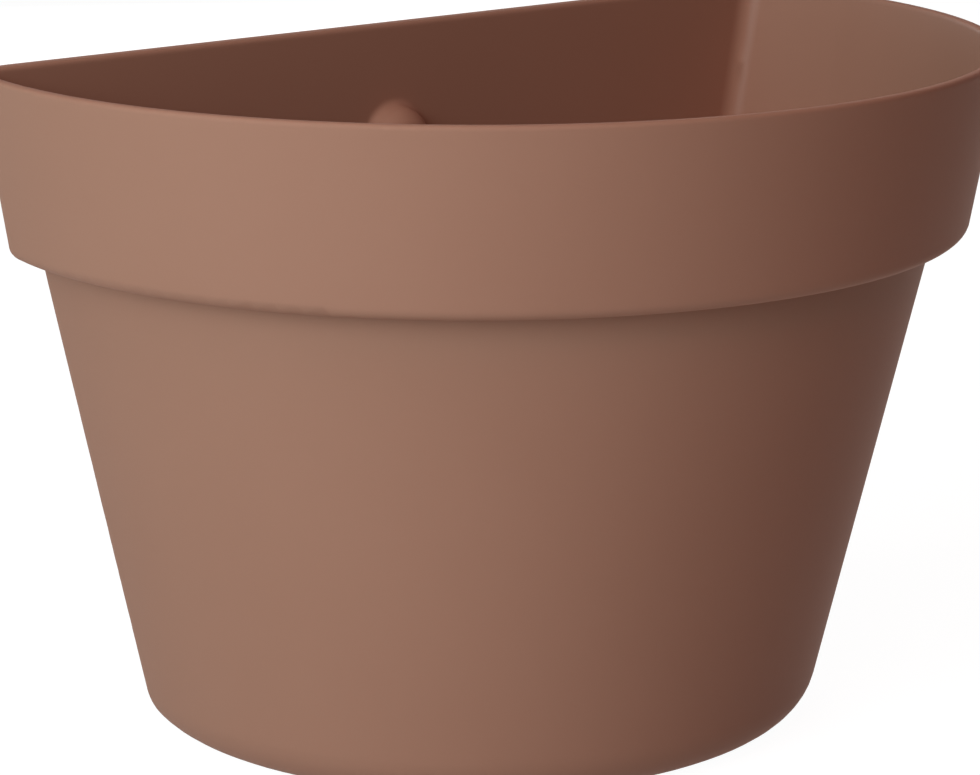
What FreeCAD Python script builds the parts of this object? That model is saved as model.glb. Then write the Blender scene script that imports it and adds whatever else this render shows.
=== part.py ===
import FreeCAD, Part
import math
import os

from FreeCAD import Vector

os.makedirs("parts", exist_ok=True)

# Half-round wall planter. Millimetres, +Z up, the flat back towards +Y, the round front towards -Y.
# The origin is on the ground, under the middle of the box that holds the planter.

# The pot's outside: a tapered round wall cut off by a flat back, with a wider collar round its top.
rim_radius = 150.0
axis_to_back = 42.2
pot_height = 196.0
collar_height = 51.8
collar_flare = 9.2
ledge_width = 9.4
base_radius = 97.2
corner_radius = 17.0
base_edge_radius = 16.0
collar_edge_radius = 3.5

# The body, the floor and the flat back have one wall thickness, and the collar a thinner one. The rim is
# rounded over, and the inside has tighter corners than the outside.
wall = 4.8
collar_wall = 3.0
rim_flat = 0.15
inner_corner_radius = 6.0
inner_floor_radius = 5.0

# The floor's middle is raised, so that the pot stands on a foot ring and water runs off below it.
foot_height = 6.0
foot_width = 7.0
recess_corner_radius = 6.0
floor_draft = 0.08

# Drain holes in the raised floor, on a part circle round the wall's axis, open to the front.
drain_circle_radius = 48.0
drain_hole_radius = 7.0
drain_angles = {"left": 210.0, "front": 270.0, "right": 330.0}

# Soft plugs close the drain holes from below, each with a bar to pull it out by.
plug_clearance = 0.3
plug_flange_overlap = 3.5
plug_flange_thickness = 2.2
plug_reach = 2.0
plug_tip_chamfer = 0.8
plug_cup_radius = 4.4
plug_skin = 2.0
pull_bar_width = 2.4

# The loose grid that keeps the soil off the drain holes lies in the taper of the wall.
grid_level = 30.0
grid_thickness = 4.0
grid_seat_gap = 0.3
grid_back_gap = 1.5
grid_corner_radius = 6.0
grid_hole_radius = 3.0
grid_hole_pitch = 17.0
grid_edge_band = 10.0
finger_hole_radius = 11.0
finger_hole_spacing = 60.0
rib_height = 5.0
rib_width = 2.6
rib_spacing = 51.0

# The hanger: a raised, domed pocket inside the back wall, with a keyhole in the back for a screw's head.
hanger_drop = 34.2
pocket_width = 20.0
pocket_top_width = 19.4
pocket_rise = 9.0
pocket_edge_radius = 8.2
pocket_foot_radius = 2.0
keyhole_drop = 10.0
head_hole_radius = 5.5
shank_slot_width = 5.6
keyhole_plate = 2.6
pocket_skin = 3.4
notch_clearance = 3.0

# Places that follow from the sizes above.
back_y = (rim_radius + axis_to_back) / 2
axis_y = back_y - axis_to_back
ledge_level = pot_height - collar_height
collar_low_radius = rim_radius - collar_flare
body_top_radius = collar_low_radius - ledge_width
hanger_level = pot_height - hanger_drop
body_taper = (body_top_radius - base_radius) / ledge_level
collar_taper = (rim_radius - collar_low_radius) / collar_height
floor_top = foot_height + wall
inner_back_y = back_y - wall
recess_radius = base_radius - base_edge_radius - foot_width
recess_back_y = back_y - base_edge_radius - foot_width


def body_radius(level):
    """Outside radius of the tapered body at a height."""
    return base_radius + body_taper * level


def body_inner_radius(level):
    """Inside radius of the body at a height, one wall in from the outside, measured square to it."""
    return body_radius(level) - wall * math.hypot(1.0, body_taper)


def collar_inner_radius(level):
    """Inside radius of the collar at a height."""
    outside = collar_low_radius + collar_taper * (level - ledge_level)
    return outside - collar_wall * math.hypot(1.0, collar_taper)


def corner_wall():
    """Thinnest place of the rim, at a back corner, between the outer and the inner corner round."""
    outer_reach = rim_radius - corner_radius
    outer_x = math.sqrt(outer_reach**2 - (axis_to_back - corner_radius) ** 2)
    inner_reach = collar_inner_radius(pot_height) - inner_corner_radius
    inner_x = math.sqrt(inner_reach**2 - (axis_to_back - wall - inner_corner_radius) ** 2)
    round_step = corner_radius - inner_corner_radius
    return round_step - math.hypot(inner_x - outer_x, round_step - wall)


def edges_at(solid, level):
    """Edges that lie flat at one height."""
    return [e for e in solid.Edges if all(abs(v.Z - level) < 1e-4 for v in e.Vertexes)]


def flat_backed(low, high, radius_at, back, corner):
    """Round tapered block between two heights, cut off by a flat back, with rounded upright corners."""
    round_block = Part.makeCone(radius_at(low), radius_at(high), high - low, Vector(0, axis_y, low))
    reach = 2 * (rim_radius + axis_to_back)
    room = Part.makeBox(2 * reach, reach, high - low, Vector(-reach, back - reach, low))
    block = round_block.common(room).Solids[0]
    uprights = []
    for edge in block.Edges:
        ends = edge.Vertexes
        if len(ends) < 2 or abs(ends[0].Z - ends[1].Z) < 1e-4:
            continue
        if all(abs(v.Y - back) < 1e-4 for v in ends):
            uprights.append(edge)
    return block.makeFillet(corner, uprights)


def slot_wire(width, drop, y):
    """Upright slot outline with round ends at one depth, its top end round the hanger level."""
    half = width / 2
    high = Vector(0, y, hanger_level)
    low = Vector(0, y, hanger_level - drop)
    right = Vector(half, 0, 0)
    up = Vector(0, 0, half)
    sides = [
        Part.Arc(high - right, high + up, high + right).toShape(),
        Part.LineSegment(high + right, low + right).toShape(),
        Part.Arc(low + right, low - up, low - right).toShape(),
        Part.LineSegment(low - right, high - right).toShape(),
    ]
    return Part.Wire(sides)


def slot_block(width, drop, from_y, to_y):
    """Straight slot-shaped block between two depths."""
    face = Part.Face(slot_wire(width, drop, from_y))
    return face.extrude(Vector(0, to_y - from_y, 0))


def drain_points():
    """Middle of each drain hole, by name."""
    points = {}
    for name, angle in drain_angles.items():
        turn = math.radians(angle)
        x = drain_circle_radius * math.cos(turn)
        y = axis_y + drain_circle_radius * math.sin(turn)
        points[name] = (x, y)
    return points


def pot_outside():
    """Body and collar as one full block, with the base edge and the collar's lower edge rounded."""
    body_top = ledge_level + wall
    body = flat_backed(0.0, body_top, body_radius, back_y, corner_radius)
    body = body.makeFillet(base_edge_radius, edges_at(body, 0.0))

    def collar_radius(level):
        return collar_low_radius + collar_taper * (level - ledge_level)

    collar = flat_backed(ledge_level, pot_height, collar_radius, back_y, corner_radius)
    collar = collar.makeFillet(collar_edge_radius, edges_at(collar, ledge_level))
    return body.fuse(collar).removeSplitter()


def pot_inside():
    """The space inside: the tapered body down to the floor, and the wider collar above its shelf."""
    shelf = ledge_level + wall
    body = flat_backed(wall, shelf + wall, body_inner_radius, inner_back_y, inner_corner_radius)
    body = body.makeFillet(inner_floor_radius, edges_at(body, wall))
    collar = flat_backed(shelf, pot_height, collar_inner_radius, inner_back_y, inner_corner_radius)
    return body.fuse(collar).removeSplitter()


def hanger_pocket():
    """Raised block on the inside of the back wall that the keyhole is sunk into."""
    rise_y = inner_back_y - pocket_rise
    root = slot_wire(pocket_width, keyhole_drop, back_y - wall / 2)
    foot = slot_wire(pocket_width, keyhole_drop, inner_back_y)
    crown = slot_wire(pocket_top_width, keyhole_drop, rise_y)
    bump = Part.makeLoft([foot, crown], True, True)
    crown_edges = [e for e in bump.Edges if all(abs(v.Y - rise_y) < 1e-4 for v in e.Vertexes)]
    bump = bump.makeFillet(pocket_edge_radius, crown_edges)
    stub = Part.Face(root).extrude(Vector(0, inner_back_y - (back_y - wall / 2), 0))
    return bump.fuse(stub)


def pocket_foot(shell):
    """Edges where the raised pocket meets the inside of the back wall."""
    middle = hanger_level - keyhole_drop / 2
    half = (pocket_width + keyhole_drop) / 2
    foot = []
    for edge in shell.Edges:
        on_wall = all(abs(v.Y - inner_back_y) < 1e-4 for v in edge.Vertexes)
        spot = edge.CenterOfMass
        if on_wall and abs(spot.x) < half and abs(spot.z - middle) < half + wall:
            foot.append(edge)
    return foot


def keyhole():
    """Head hole low, narrow shank slot above it, and behind the plate a channel for the screw's head."""
    plate_y = back_y - keyhole_plate
    deep_y = inner_back_y - pocket_rise + pocket_skin
    head_at = Vector(0, deep_y, hanger_level - keyhole_drop)
    head_hole = Part.makeCylinder(head_hole_radius, back_y - deep_y, head_at, Vector(0, 1, 0))
    shank_slot = slot_block(shank_slot_width, keyhole_drop, back_y, deep_y)
    head_channel = slot_block(2 * head_hole_radius, keyhole_drop, plate_y, deep_y)
    return head_hole.fuse([shank_slot, head_channel])


def raised_floor(radius, back, low, high):
    """Flat-backed block of floor between two heights, drawn in a little towards its top."""

    def drawn_in(level):
        return radius - floor_draft * level

    return flat_backed(low, high, drawn_in, back, recess_corner_radius)


def make_pot_shell():
    """The moulded pot: wall, collar, raised floor on a foot ring, drain holes and hanger."""
    shell = pot_outside().cut(pot_inside())
    rim_edge_radius = (corner_wall() - rim_flat) / 2
    shell = shell.makeFillet(rim_edge_radius, edges_at(shell, pot_height))
    plateau = raised_floor(recess_radius + wall, recess_back_y + wall, wall / 2, floor_top)
    recess = raised_floor(recess_radius, recess_back_y, 0.0, foot_height)
    shell = shell.fuse([plateau, hanger_pocket()]).removeSplitter()
    shell = shell.makeFillet(pocket_foot_radius, pocket_foot(shell))
    cuts = [recess, keyhole()]
    for x, y in drain_points().values():
        cuts.append(Part.makeCylinder(drain_hole_radius, floor_top, Vector(x, y, 0)))
    return shell.cut(cuts).removeSplitter()


def make_drain_plug(x, y):
    """Flanged plug with a hollow underside and a pull bar, seated up against the raised floor."""
    seat = foot_height - plug_clearance
    foot = seat - plug_flange_thickness
    tip = floor_top + plug_reach
    shank_radius = drain_hole_radius - plug_clearance
    flange_radius = drain_hole_radius + plug_flange_overlap
    flange = Part.makeCylinder(flange_radius, plug_flange_thickness, Vector(x, y, foot))
    shank = Part.makeCylinder(shank_radius, tip - foot, Vector(x, y, foot))
    shank = shank.makeChamfer(plug_tip_chamfer, edges_at(shank, tip))
    cup = Part.makeCylinder(plug_cup_radius, tip - plug_skin - foot, Vector(x, y, foot))
    bar_corner = Vector(x - shank_radius, y - pull_bar_width / 2, foot)
    bar = Part.makeBox(2 * shank_radius, pull_bar_width, plug_flange_thickness, bar_corner)
    return flange.fuse(shank).cut(cup).fuse(bar).removeSplitter()


def grid_radius(level):
    """Edge of the grid at a height, a seat gap in from the tapered wall that holds it."""
    return body_inner_radius(level) - grid_seat_gap * math.hypot(1.0, body_taper)


def grid_hole_points(back, notch_half, notch_deep):
    """Staggered rows of drain holes, kept off the edge band, the finger holes and the hanger notch."""
    points = []
    row_step = grid_hole_pitch * math.sin(math.radians(60))
    reach = grid_radius(grid_level) - grid_edge_band
    row_count = int((reach + axis_to_back) / row_step)
    column_count = int(2 * reach / grid_hole_pitch)
    for row in range(row_count):
        y = back - grid_edge_band - row * row_step
        stagger = grid_hole_pitch / 2 * (row % 2)
        for column in range(-column_count, column_count + 1):
            x = column * grid_hole_pitch + stagger
            if math.hypot(x, y - axis_y) > reach:
                continue
            if abs(x) < notch_half + grid_edge_band and y > back - notch_deep - grid_edge_band:
                continue
            from_finger = math.hypot(abs(x) - finger_hole_spacing / 2, y - axis_y)
            if from_finger < finger_hole_radius + grid_hole_pitch / 2:
                continue
            points.append((x, y))
    return points


def make_drain_grid():
    """Loose D-shaped grid with a tapered edge, ribs below, finger holes and a notch past the hanger."""
    top = grid_level + grid_thickness
    back = inner_back_y - grid_back_gap
    notch_half = pocket_width / 2 + notch_clearance
    notch_deep = pocket_rise + notch_clearance - grid_back_gap
    plate = flat_backed(grid_level, top, grid_radius, back, grid_corner_radius)
    rib_low = grid_level - rib_height
    rib_room = flat_backed(rib_low, top, grid_radius, back, grid_corner_radius)
    ribs = []
    reach = 2 * rim_radius
    for step in (-1, 0, 1):
        corner = Vector(step * rib_spacing - rib_width / 2, axis_y - reach, rib_low)
        ribs.append(Part.makeBox(rib_width, 2 * reach, top - rib_low, corner))
    for step in (-1, 0):
        corner = Vector(-reach, axis_y + step * rib_spacing - rib_width / 2, rib_low)
        ribs.append(Part.makeBox(2 * reach, rib_width, top - rib_low, corner))
    rib_set = ribs[0].fuse(ribs[1:]).common(rib_room)
    cuts = []
    notch_corner = Vector(-notch_half, back - notch_deep, rib_low)
    cuts.append(Part.makeBox(2 * notch_half, notch_deep + wall, rib_height + grid_thickness, notch_corner))
    for side in (-1, 1):
        middle = Vector(side * finger_hole_spacing / 2, axis_y, rib_low)
        cuts.append(Part.makeCylinder(finger_hole_radius, top - rib_low, middle))
    for x, y in grid_hole_points(back, notch_half, notch_deep):
        cuts.append(Part.makeCylinder(grid_hole_radius, grid_thickness, Vector(x, y, grid_level)))
    return plate.fuse(rib_set).cut(cuts).removeSplitter()


def write_node(name, shape):
    """Write one piece as its own node and print its volume and box."""
    if len(shape.Solids) != 1 or not shape.isValid():
        print("check", name, "solids", len(shape.Solids), "valid", shape.isValid())
    box = shape.optimalBoundingBox()
    shape.Solids[0].exportStep("parts/" + name + ".step")
    sizes = [round(v, 2) for v in (box.XMin, box.XMax, box.YMin, box.YMax, box.ZMin, box.ZMax)]
    print(name, "volume", round(shape.Volume), "box", sizes)


write_node("pot_shell", make_pot_shell())
write_node("drain_grid", make_drain_grid())
for side_name, point in drain_points().items():
    write_node("drain_plug_" + side_name, make_drain_plug(point[0], point[1]))
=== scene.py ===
import math

import bpy
import numpy as np
from mathutils import Matrix, Vector

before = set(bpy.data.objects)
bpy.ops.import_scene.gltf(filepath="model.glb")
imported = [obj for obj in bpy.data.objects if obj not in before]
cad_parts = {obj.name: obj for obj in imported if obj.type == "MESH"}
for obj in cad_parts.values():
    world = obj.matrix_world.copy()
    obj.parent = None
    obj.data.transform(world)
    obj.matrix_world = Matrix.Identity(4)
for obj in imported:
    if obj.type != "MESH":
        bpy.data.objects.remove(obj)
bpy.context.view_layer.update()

# Pot shell
# The one moulded pot: polypropylene, coloured through, out of a steel mould with a finely eroded
# surface. It carries everything else, and hangs on a wall screw by the pocket in its flat back.


def linear(hex_colour):
    """Linear RGBA of an sRGB hex colour such as "8a6a58"."""
    shares = np.array([int(hex_colour[i : i + 2], 16) / 255 for i in (0, 2, 4)])
    low = shares / 12.92
    high = ((shares + 0.055) / 1.055) ** 2.4
    return (*np.where(shares <= 0.04045, low, high), 1.0)


def add_node(tree, kind, inputs=None, **settings):
    """Adds a node: settings go to its properties, inputs to its sockets as links or values."""
    node = tree.nodes.new(kind)
    for name, value in settings.items():
        setattr(node, name, value)
    for name, value in (inputs or {}).items():
        if isinstance(value, bpy.types.NodeSocket):
            tree.links.new(value, node.inputs[name])
        else:
            node.inputs[name].default_value = value
    return node


def new_material(name):
    """Empty node material, and the node tree to fill."""
    material = bpy.data.materials.new(name)
    material.use_nodes = True
    material.node_tree.nodes.clear()
    return material, material.node_tree


def set_stops(ramp, stops):
    """Gives a two-colour ramp its stops, each a place from 0 to 1 and a hex colour."""
    for element, (position, hex_colour) in zip(ramp.color_ramp.elements, stops):
        element.position = position
        element.color = linear(hex_colour)


def dress(name, material):
    """Gives a CAD node its one material."""
    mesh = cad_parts[name].data
    mesh.materials.clear()
    mesh.materials.append(material)


def moulded_polypropylene():
    """Matt polypropylene: a faint broad sheen over a warm brown, flow clouds and an eroded grain.

    The inside comes off a smoother steel core, so it is less rough. A surface is inside where its
    normal points to the pot's middle: the normal times the sideways distance from the middle is
    well below zero there, and about zero on the rim. Normals are evened out within edge_mm of an
    edge, so that the moulded edges show no facets.
    """
    # The real grain is about 0.1 mm wide. That is too fine to show, so it is drawn coarser.
    grain_mm = 0.9
    grain_depth_mm = 0.1
    grain_strength = 0.08
    cloud_mm = 70.0
    cloud_browns = ((0.3, "9a6e5b"), (0.7, "9c705d"))
    edge_mm = 2.0
    inside_reach = -0.12
    rim_reach = -0.05
    core_rough = 0.34
    outside_rough = 0.64
    grain_rough = 0.08
    plastic_ior = 1.49
    sheen_level = 0.14
    material, tree = new_material("moulded_polypropylene")
    coordinates = add_node(tree, "ShaderNodeTexCoord").outputs
    place = coordinates["Object"]
    clouds = add_node(
        tree,
        "ShaderNodeTexNoise",
        {"Vector": place, "Scale": 1000 / cloud_mm, "Detail": 2.0},
    )
    grain = add_node(
        tree,
        "ShaderNodeTexNoise",
        {"Vector": place, "Scale": 1000 / grain_mm, "Detail": 3.0},
    )
    colour = add_node(tree, "ShaderNodeValToRGB", {"Fac": clouds.outputs["Fac"]})
    set_stops(colour, cloud_browns)
    sideways = add_node(
        tree,
        "ShaderNodeVectorMath",
        {0: place, 1: (1, 1, 0)},
        operation="MULTIPLY",
    )
    outward = add_node(
        tree,
        "ShaderNodeVectorMath",
        {0: sideways.outputs["Vector"], 1: coordinates["Normal"]},
        operation="DOT_PRODUCT",
    )
    mould_rough = add_node(
        tree,
        "ShaderNodeMapRange",
        {
            "Value": outward.outputs["Value"],
            "From Min": inside_reach,
            "From Max": rim_reach,
            "To Min": core_rough,
            "To Max": outside_rough,
        },
    )
    rough = add_node(
        tree,
        "ShaderNodeMath",
        {0: grain.outputs["Fac"], 1: grain_rough, 2: mould_rough.outputs["Result"]},
        operation="MULTIPLY_ADD",
    )
    edges = add_node(tree, "ShaderNodeBevel", {"Radius": edge_mm / 1000}, samples=8)
    bump = add_node(
        tree,
        "ShaderNodeBump",
        {
            "Height": grain.outputs["Fac"],
            "Strength": grain_strength,
            "Distance": grain_depth_mm / 1000,
            "Normal": edges.outputs["Normal"],
        },
    )
    surface = add_node(
        tree,
        "ShaderNodeBsdfPrincipled",
        {
            "Base Color": colour.outputs["Color"],
            "Roughness": rough.outputs["Value"],
            "Normal": bump.outputs["Normal"],
            "IOR": plastic_ior,
            "Specular IOR Level": sheen_level,
        },
    )
    add_node(tree, "ShaderNodeOutputMaterial", {"Surface": surface.outputs["BSDF"]})
    return material


dress("pot_shell", moulded_polypropylene())

# Drain grid
# The loose plate low in the pot that keeps the soil off the drain holes. It is moulded from
# recycled polypropylene, so it is nearly black with a faint speckle, and it only rests in the
# taper of the wall.


def recycled_polypropylene():
    """Reground polypropylene: a dark grey with paler, browner specks, and a dull satin surface."""
    # The real grain is about 0.1 mm wide. That is too fine to show, so it is drawn coarser.
    grain_mm = 0.8
    grain_depth_mm = 0.1
    grain_strength = 0.1
    speck_mm = 1.6
    speck_greys = ((0.35, "2c2a29"), (0.75, "3f3a37"))
    least_rough = 0.48
    most_rough = 0.62
    plastic_ior = 1.49
    material, tree = new_material("recycled_polypropylene")
    place = add_node(tree, "ShaderNodeTexCoord").outputs["Object"]
    specks = add_node(
        tree,
        "ShaderNodeTexNoise",
        {"Vector": place, "Scale": 1000 / speck_mm, "Detail": 1.0},
    )
    grain = add_node(
        tree,
        "ShaderNodeTexNoise",
        {"Vector": place, "Scale": 1000 / grain_mm, "Detail": 2.0},
    )
    colour = add_node(tree, "ShaderNodeValToRGB", {"Fac": specks.outputs["Fac"]})
    set_stops(colour, speck_greys)
    rough = add_node(
        tree,
        "ShaderNodeMapRange",
        {"Value": grain.outputs["Fac"], "To Min": least_rough, "To Max": most_rough},
    )
    bump = add_node(
        tree,
        "ShaderNodeBump",
        {
            "Height": grain.outputs["Fac"],
            "Strength": grain_strength,
            "Distance": grain_depth_mm / 1000,
        },
    )
    surface = add_node(
        tree,
        "ShaderNodeBsdfPrincipled",
        {
            "Base Color": colour.outputs["Color"],
            "Roughness": rough.outputs["Result"],
            "Normal": bump.outputs["Normal"],
            "IOR": plastic_ior,
        },
    )
    add_node(tree, "ShaderNodeOutputMaterial", {"Surface": surface.outputs["BSDF"]})
    return material


dress("drain_grid", recycled_polypropylene())

# Drain plugs
# Three soft push-in plugs in the floor's drain holes, pressed from black rubber. Each has a thin
# flange under the floor and a small bar to pull it out by.


def pressed_rubber():
    """Pressed rubber: a warm black with a dusty bloom in patches, and no gloss."""
    # The real grain is about 0.1 mm wide. That is too fine to show, so it is drawn coarser.
    grain_mm = 0.6
    grain_depth_mm = 0.1
    grain_strength = 0.15
    bloom_mm = 6.0
    bloom_blacks = ((0.3, "211e1d"), (0.8, "332f2d"))
    least_rough = 0.68
    most_rough = 0.85
    rubber_ior = 1.52
    material, tree = new_material("pressed_rubber")
    place = add_node(tree, "ShaderNodeTexCoord").outputs["Object"]
    bloom = add_node(
        tree,
        "ShaderNodeTexNoise",
        {"Vector": place, "Scale": 1000 / bloom_mm, "Detail": 3.0},
    )
    grain = add_node(
        tree,
        "ShaderNodeTexNoise",
        {"Vector": place, "Scale": 1000 / grain_mm, "Detail": 2.0},
    )
    colour = add_node(tree, "ShaderNodeValToRGB", {"Fac": bloom.outputs["Fac"]})
    set_stops(colour, bloom_blacks)
    rough = add_node(
        tree,
        "ShaderNodeMapRange",
        {"Value": bloom.outputs["Fac"], "To Min": least_rough, "To Max": most_rough},
    )
    bump = add_node(
        tree,
        "ShaderNodeBump",
        {
            "Height": grain.outputs["Fac"],
            "Strength": grain_strength,
            "Distance": grain_depth_mm / 1000,
        },
    )
    surface = add_node(
        tree,
        "ShaderNodeBsdfPrincipled",
        {
            "Base Color": colour.outputs["Color"],
            "Roughness": rough.outputs["Result"],
            "Normal": bump.outputs["Normal"],
            "IOR": rubber_ior,
        },
    )
    add_node(tree, "ShaderNodeOutputMaterial", {"Surface": surface.outputs["BSDF"]})
    return material


plug_rubber = pressed_rubber()
for plug_name in ("drain_plug_left", "drain_plug_front", "drain_plug_right"):
    dress(plug_name, plug_rubber)

# Floor
# A plain white studio sweep under the planter. It is white where it is seen or mirrored, and a
# faint soft shadow of the planter stays on it.


def in_plain_sight(tree):
    """1 for rays that look directly, in a reflection or through glass, 0 for light that bounces."""
    path = add_node(tree, "ShaderNodeLightPath").outputs
    seen = path["Is Camera Ray"]
    for ray in ("Is Glossy Ray", "Is Transmission Ray"):
        either = add_node(tree, "ShaderNodeMath", {0: seen, 1: path[ray]}, operation="MAXIMUM")
        seen = either.outputs["Value"]
    return seen


white = (1, 1, 1, 1)
floor_half = 3.0
floor_drop = 0.0005
# The glow makes up what the lit paper lacks, so that the two together are just white.
shadow_share = 0.2
glow_strength = 1.21
floor_corners = [
    (x * floor_half, y * floor_half, -floor_drop)
    for x, y in ((-1, -1), (1, -1), (1, 1), (-1, 1))
]
floor_mesh = bpy.data.meshes.new("studio_floor")
floor_mesh.from_pydata(floor_corners, [], [(0, 1, 2, 3)])
floor = bpy.data.objects.new("studio_floor", floor_mesh)
bpy.context.scene.collection.objects.link(floor)
floor_material, floor_tree = new_material("white_paper_sweep")
paper = add_node(floor_tree, "ShaderNodeBsdfDiffuse", {"Color": linear("dcdcdc")})
glow = add_node(
    floor_tree,
    "ShaderNodeEmission",
    {"Color": white, "Strength": glow_strength},
)
white_share = add_node(
    floor_tree,
    "ShaderNodeMath",
    {0: in_plain_sight(floor_tree), 1: 1 - shadow_share},
    operation="MULTIPLY",
)
mixed = add_node(
    floor_tree,
    "ShaderNodeMixShader",
    {0: white_share.outputs["Value"], 1: paper.outputs["BSDF"], 2: glow.outputs["Emission"]},
)
add_node(floor_tree, "ShaderNodeOutputMaterial", {"Surface": mixed.outputs["Shader"]})
floor_material.cycles.emission_sampling = "NONE"
floor_mesh.materials.append(floor_material)

# World
# A white backdrop behind everything, and a dim warm fill from all round. The backdrop shows only
# directly or in a reflection, and the fill is what reaches the planter as light.

warm_tint = "ff896c"
fill_strength = 0.006
world = bpy.data.worlds.new("studio")
bpy.context.scene.world = world
world.use_nodes = True
world.cycles.sampling_method = "NONE"
world_tree = world.node_tree
world_tree.nodes.clear()
fill = add_node(
    world_tree,
    "ShaderNodeBackground",
    {"Color": linear(warm_tint), "Strength": fill_strength},
)
backdrop = add_node(world_tree, "ShaderNodeBackground", {"Color": white, "Strength": 1.0})
world_mix = add_node(
    world_tree,
    "ShaderNodeMixShader",
    {
        0: in_plain_sight(world_tree),
        1: fill.outputs["Background"],
        2: backdrop.outputs["Background"],
    },
)
add_node(world_tree, "ShaderNodeOutputWorld", {"Surface": world_mix.outputs["Shader"]})

# Lights
# Three soft boxes on the left, low, in front and high, give the broad light. A dim warm one in
# front keeps the shade brown, and a dim one above lights the rim. One behind lights the flat back,
# which the photograph doesn't show, and leaves no gleam on the rim.


def softbox(name, azimuth, elevation, distance, size, power, tint):
    """Square soft box aimed at the planter, placed by its bearing round it and its height."""
    aim_height = 0.12
    lamp = bpy.data.lights.new(name, "AREA")
    lamp.shape = "SQUARE"
    lamp.size = size
    lamp.energy = power
    lamp.color = linear(tint)[:3]
    turn, rise = math.radians(azimuth), math.radians(elevation)
    out = Vector(
        (math.sin(turn) * math.cos(rise), -math.cos(turn) * math.cos(rise), math.sin(rise))
    )
    item = bpy.data.objects.new(name, lamp)
    item.location = Vector((0, 0, aim_height)) + out * distance
    item.rotation_euler = out.to_track_quat("Z", "Y").to_euler()
    bpy.context.scene.collection.objects.link(item)
    return item


softbox(
    "left_low_softbox",
    azimuth=-85,
    elevation=10,
    distance=1.3,
    size=0.9,
    power=10.4,
    tint="dbf8ff",
)
softbox(
    "left_front_softbox",
    azimuth=-60,
    elevation=25,
    distance=1.3,
    size=0.6,
    power=5.8,
    tint="f0fcff",
)
softbox(
    "left_high_softbox",
    azimuth=-80,
    elevation=45,
    distance=1.3,
    size=0.7,
    power=3.0,
    tint="f0fcff",
)
softbox(
    "front_high_softbox",
    azimuth=-20,
    elevation=50,
    distance=1.5,
    size=0.7,
    power=2.9,
    tint=warm_tint,
)
softbox(
    "top_softbox",
    azimuth=-80,
    elevation=72,
    distance=1.3,
    size=0.7,
    power=1.9,
    tint="ffe0d4",
)
back_softbox = softbox(
    "back_softbox",
    azimuth=150,
    elevation=12,
    distance=1.5,
    size=0.7,
    power=5.5,
    tint="ffffff",
)
back_softbox.visible_glossy = False

# Camera
# The photograph's own view: a long lens, a little above the rim and to the left of the middle.
# Its place, turn and focal length were fitted to the planter's outlines.

camera_bearing = 39.408
camera_rise = 13.475
camera_roll = 0.096
camera_distance = 1.196710
camera_target = Vector((0.040311, 0.0961, 0.079703))
focal_pixels = 3908.99
image_width = 980
turn = math.radians(camera_bearing)
rise = math.radians(camera_rise)
roll = math.radians(camera_roll)
back = Vector(
    (-math.sin(turn) * math.cos(rise), -math.cos(turn) * math.cos(rise), math.sin(rise))
)
level = (-back).cross(Vector((0, 0, 1))).normalized()
upright = level.cross(-back)
right = math.cos(roll) * level + math.sin(roll) * upright
up = math.cos(roll) * upright - math.sin(roll) * level
camera_data = bpy.data.cameras.new("photo_camera")
camera_data.sensor_width = 36.0
camera_data.sensor_fit = "HORIZONTAL"
camera_data.lens = focal_pixels / image_width * camera_data.sensor_width
camera = bpy.data.objects.new("photo_camera", camera_data)
turned = Matrix((right, up, back)).transposed().to_4x4()
camera.matrix_world = Matrix.Translation(camera_target + back * camera_distance) @ turned
bpy.context.scene.collection.objects.link(camera)
bpy.context.scene.camera = camera
bpy.context.scene.view_settings.view_transform = "Standard"
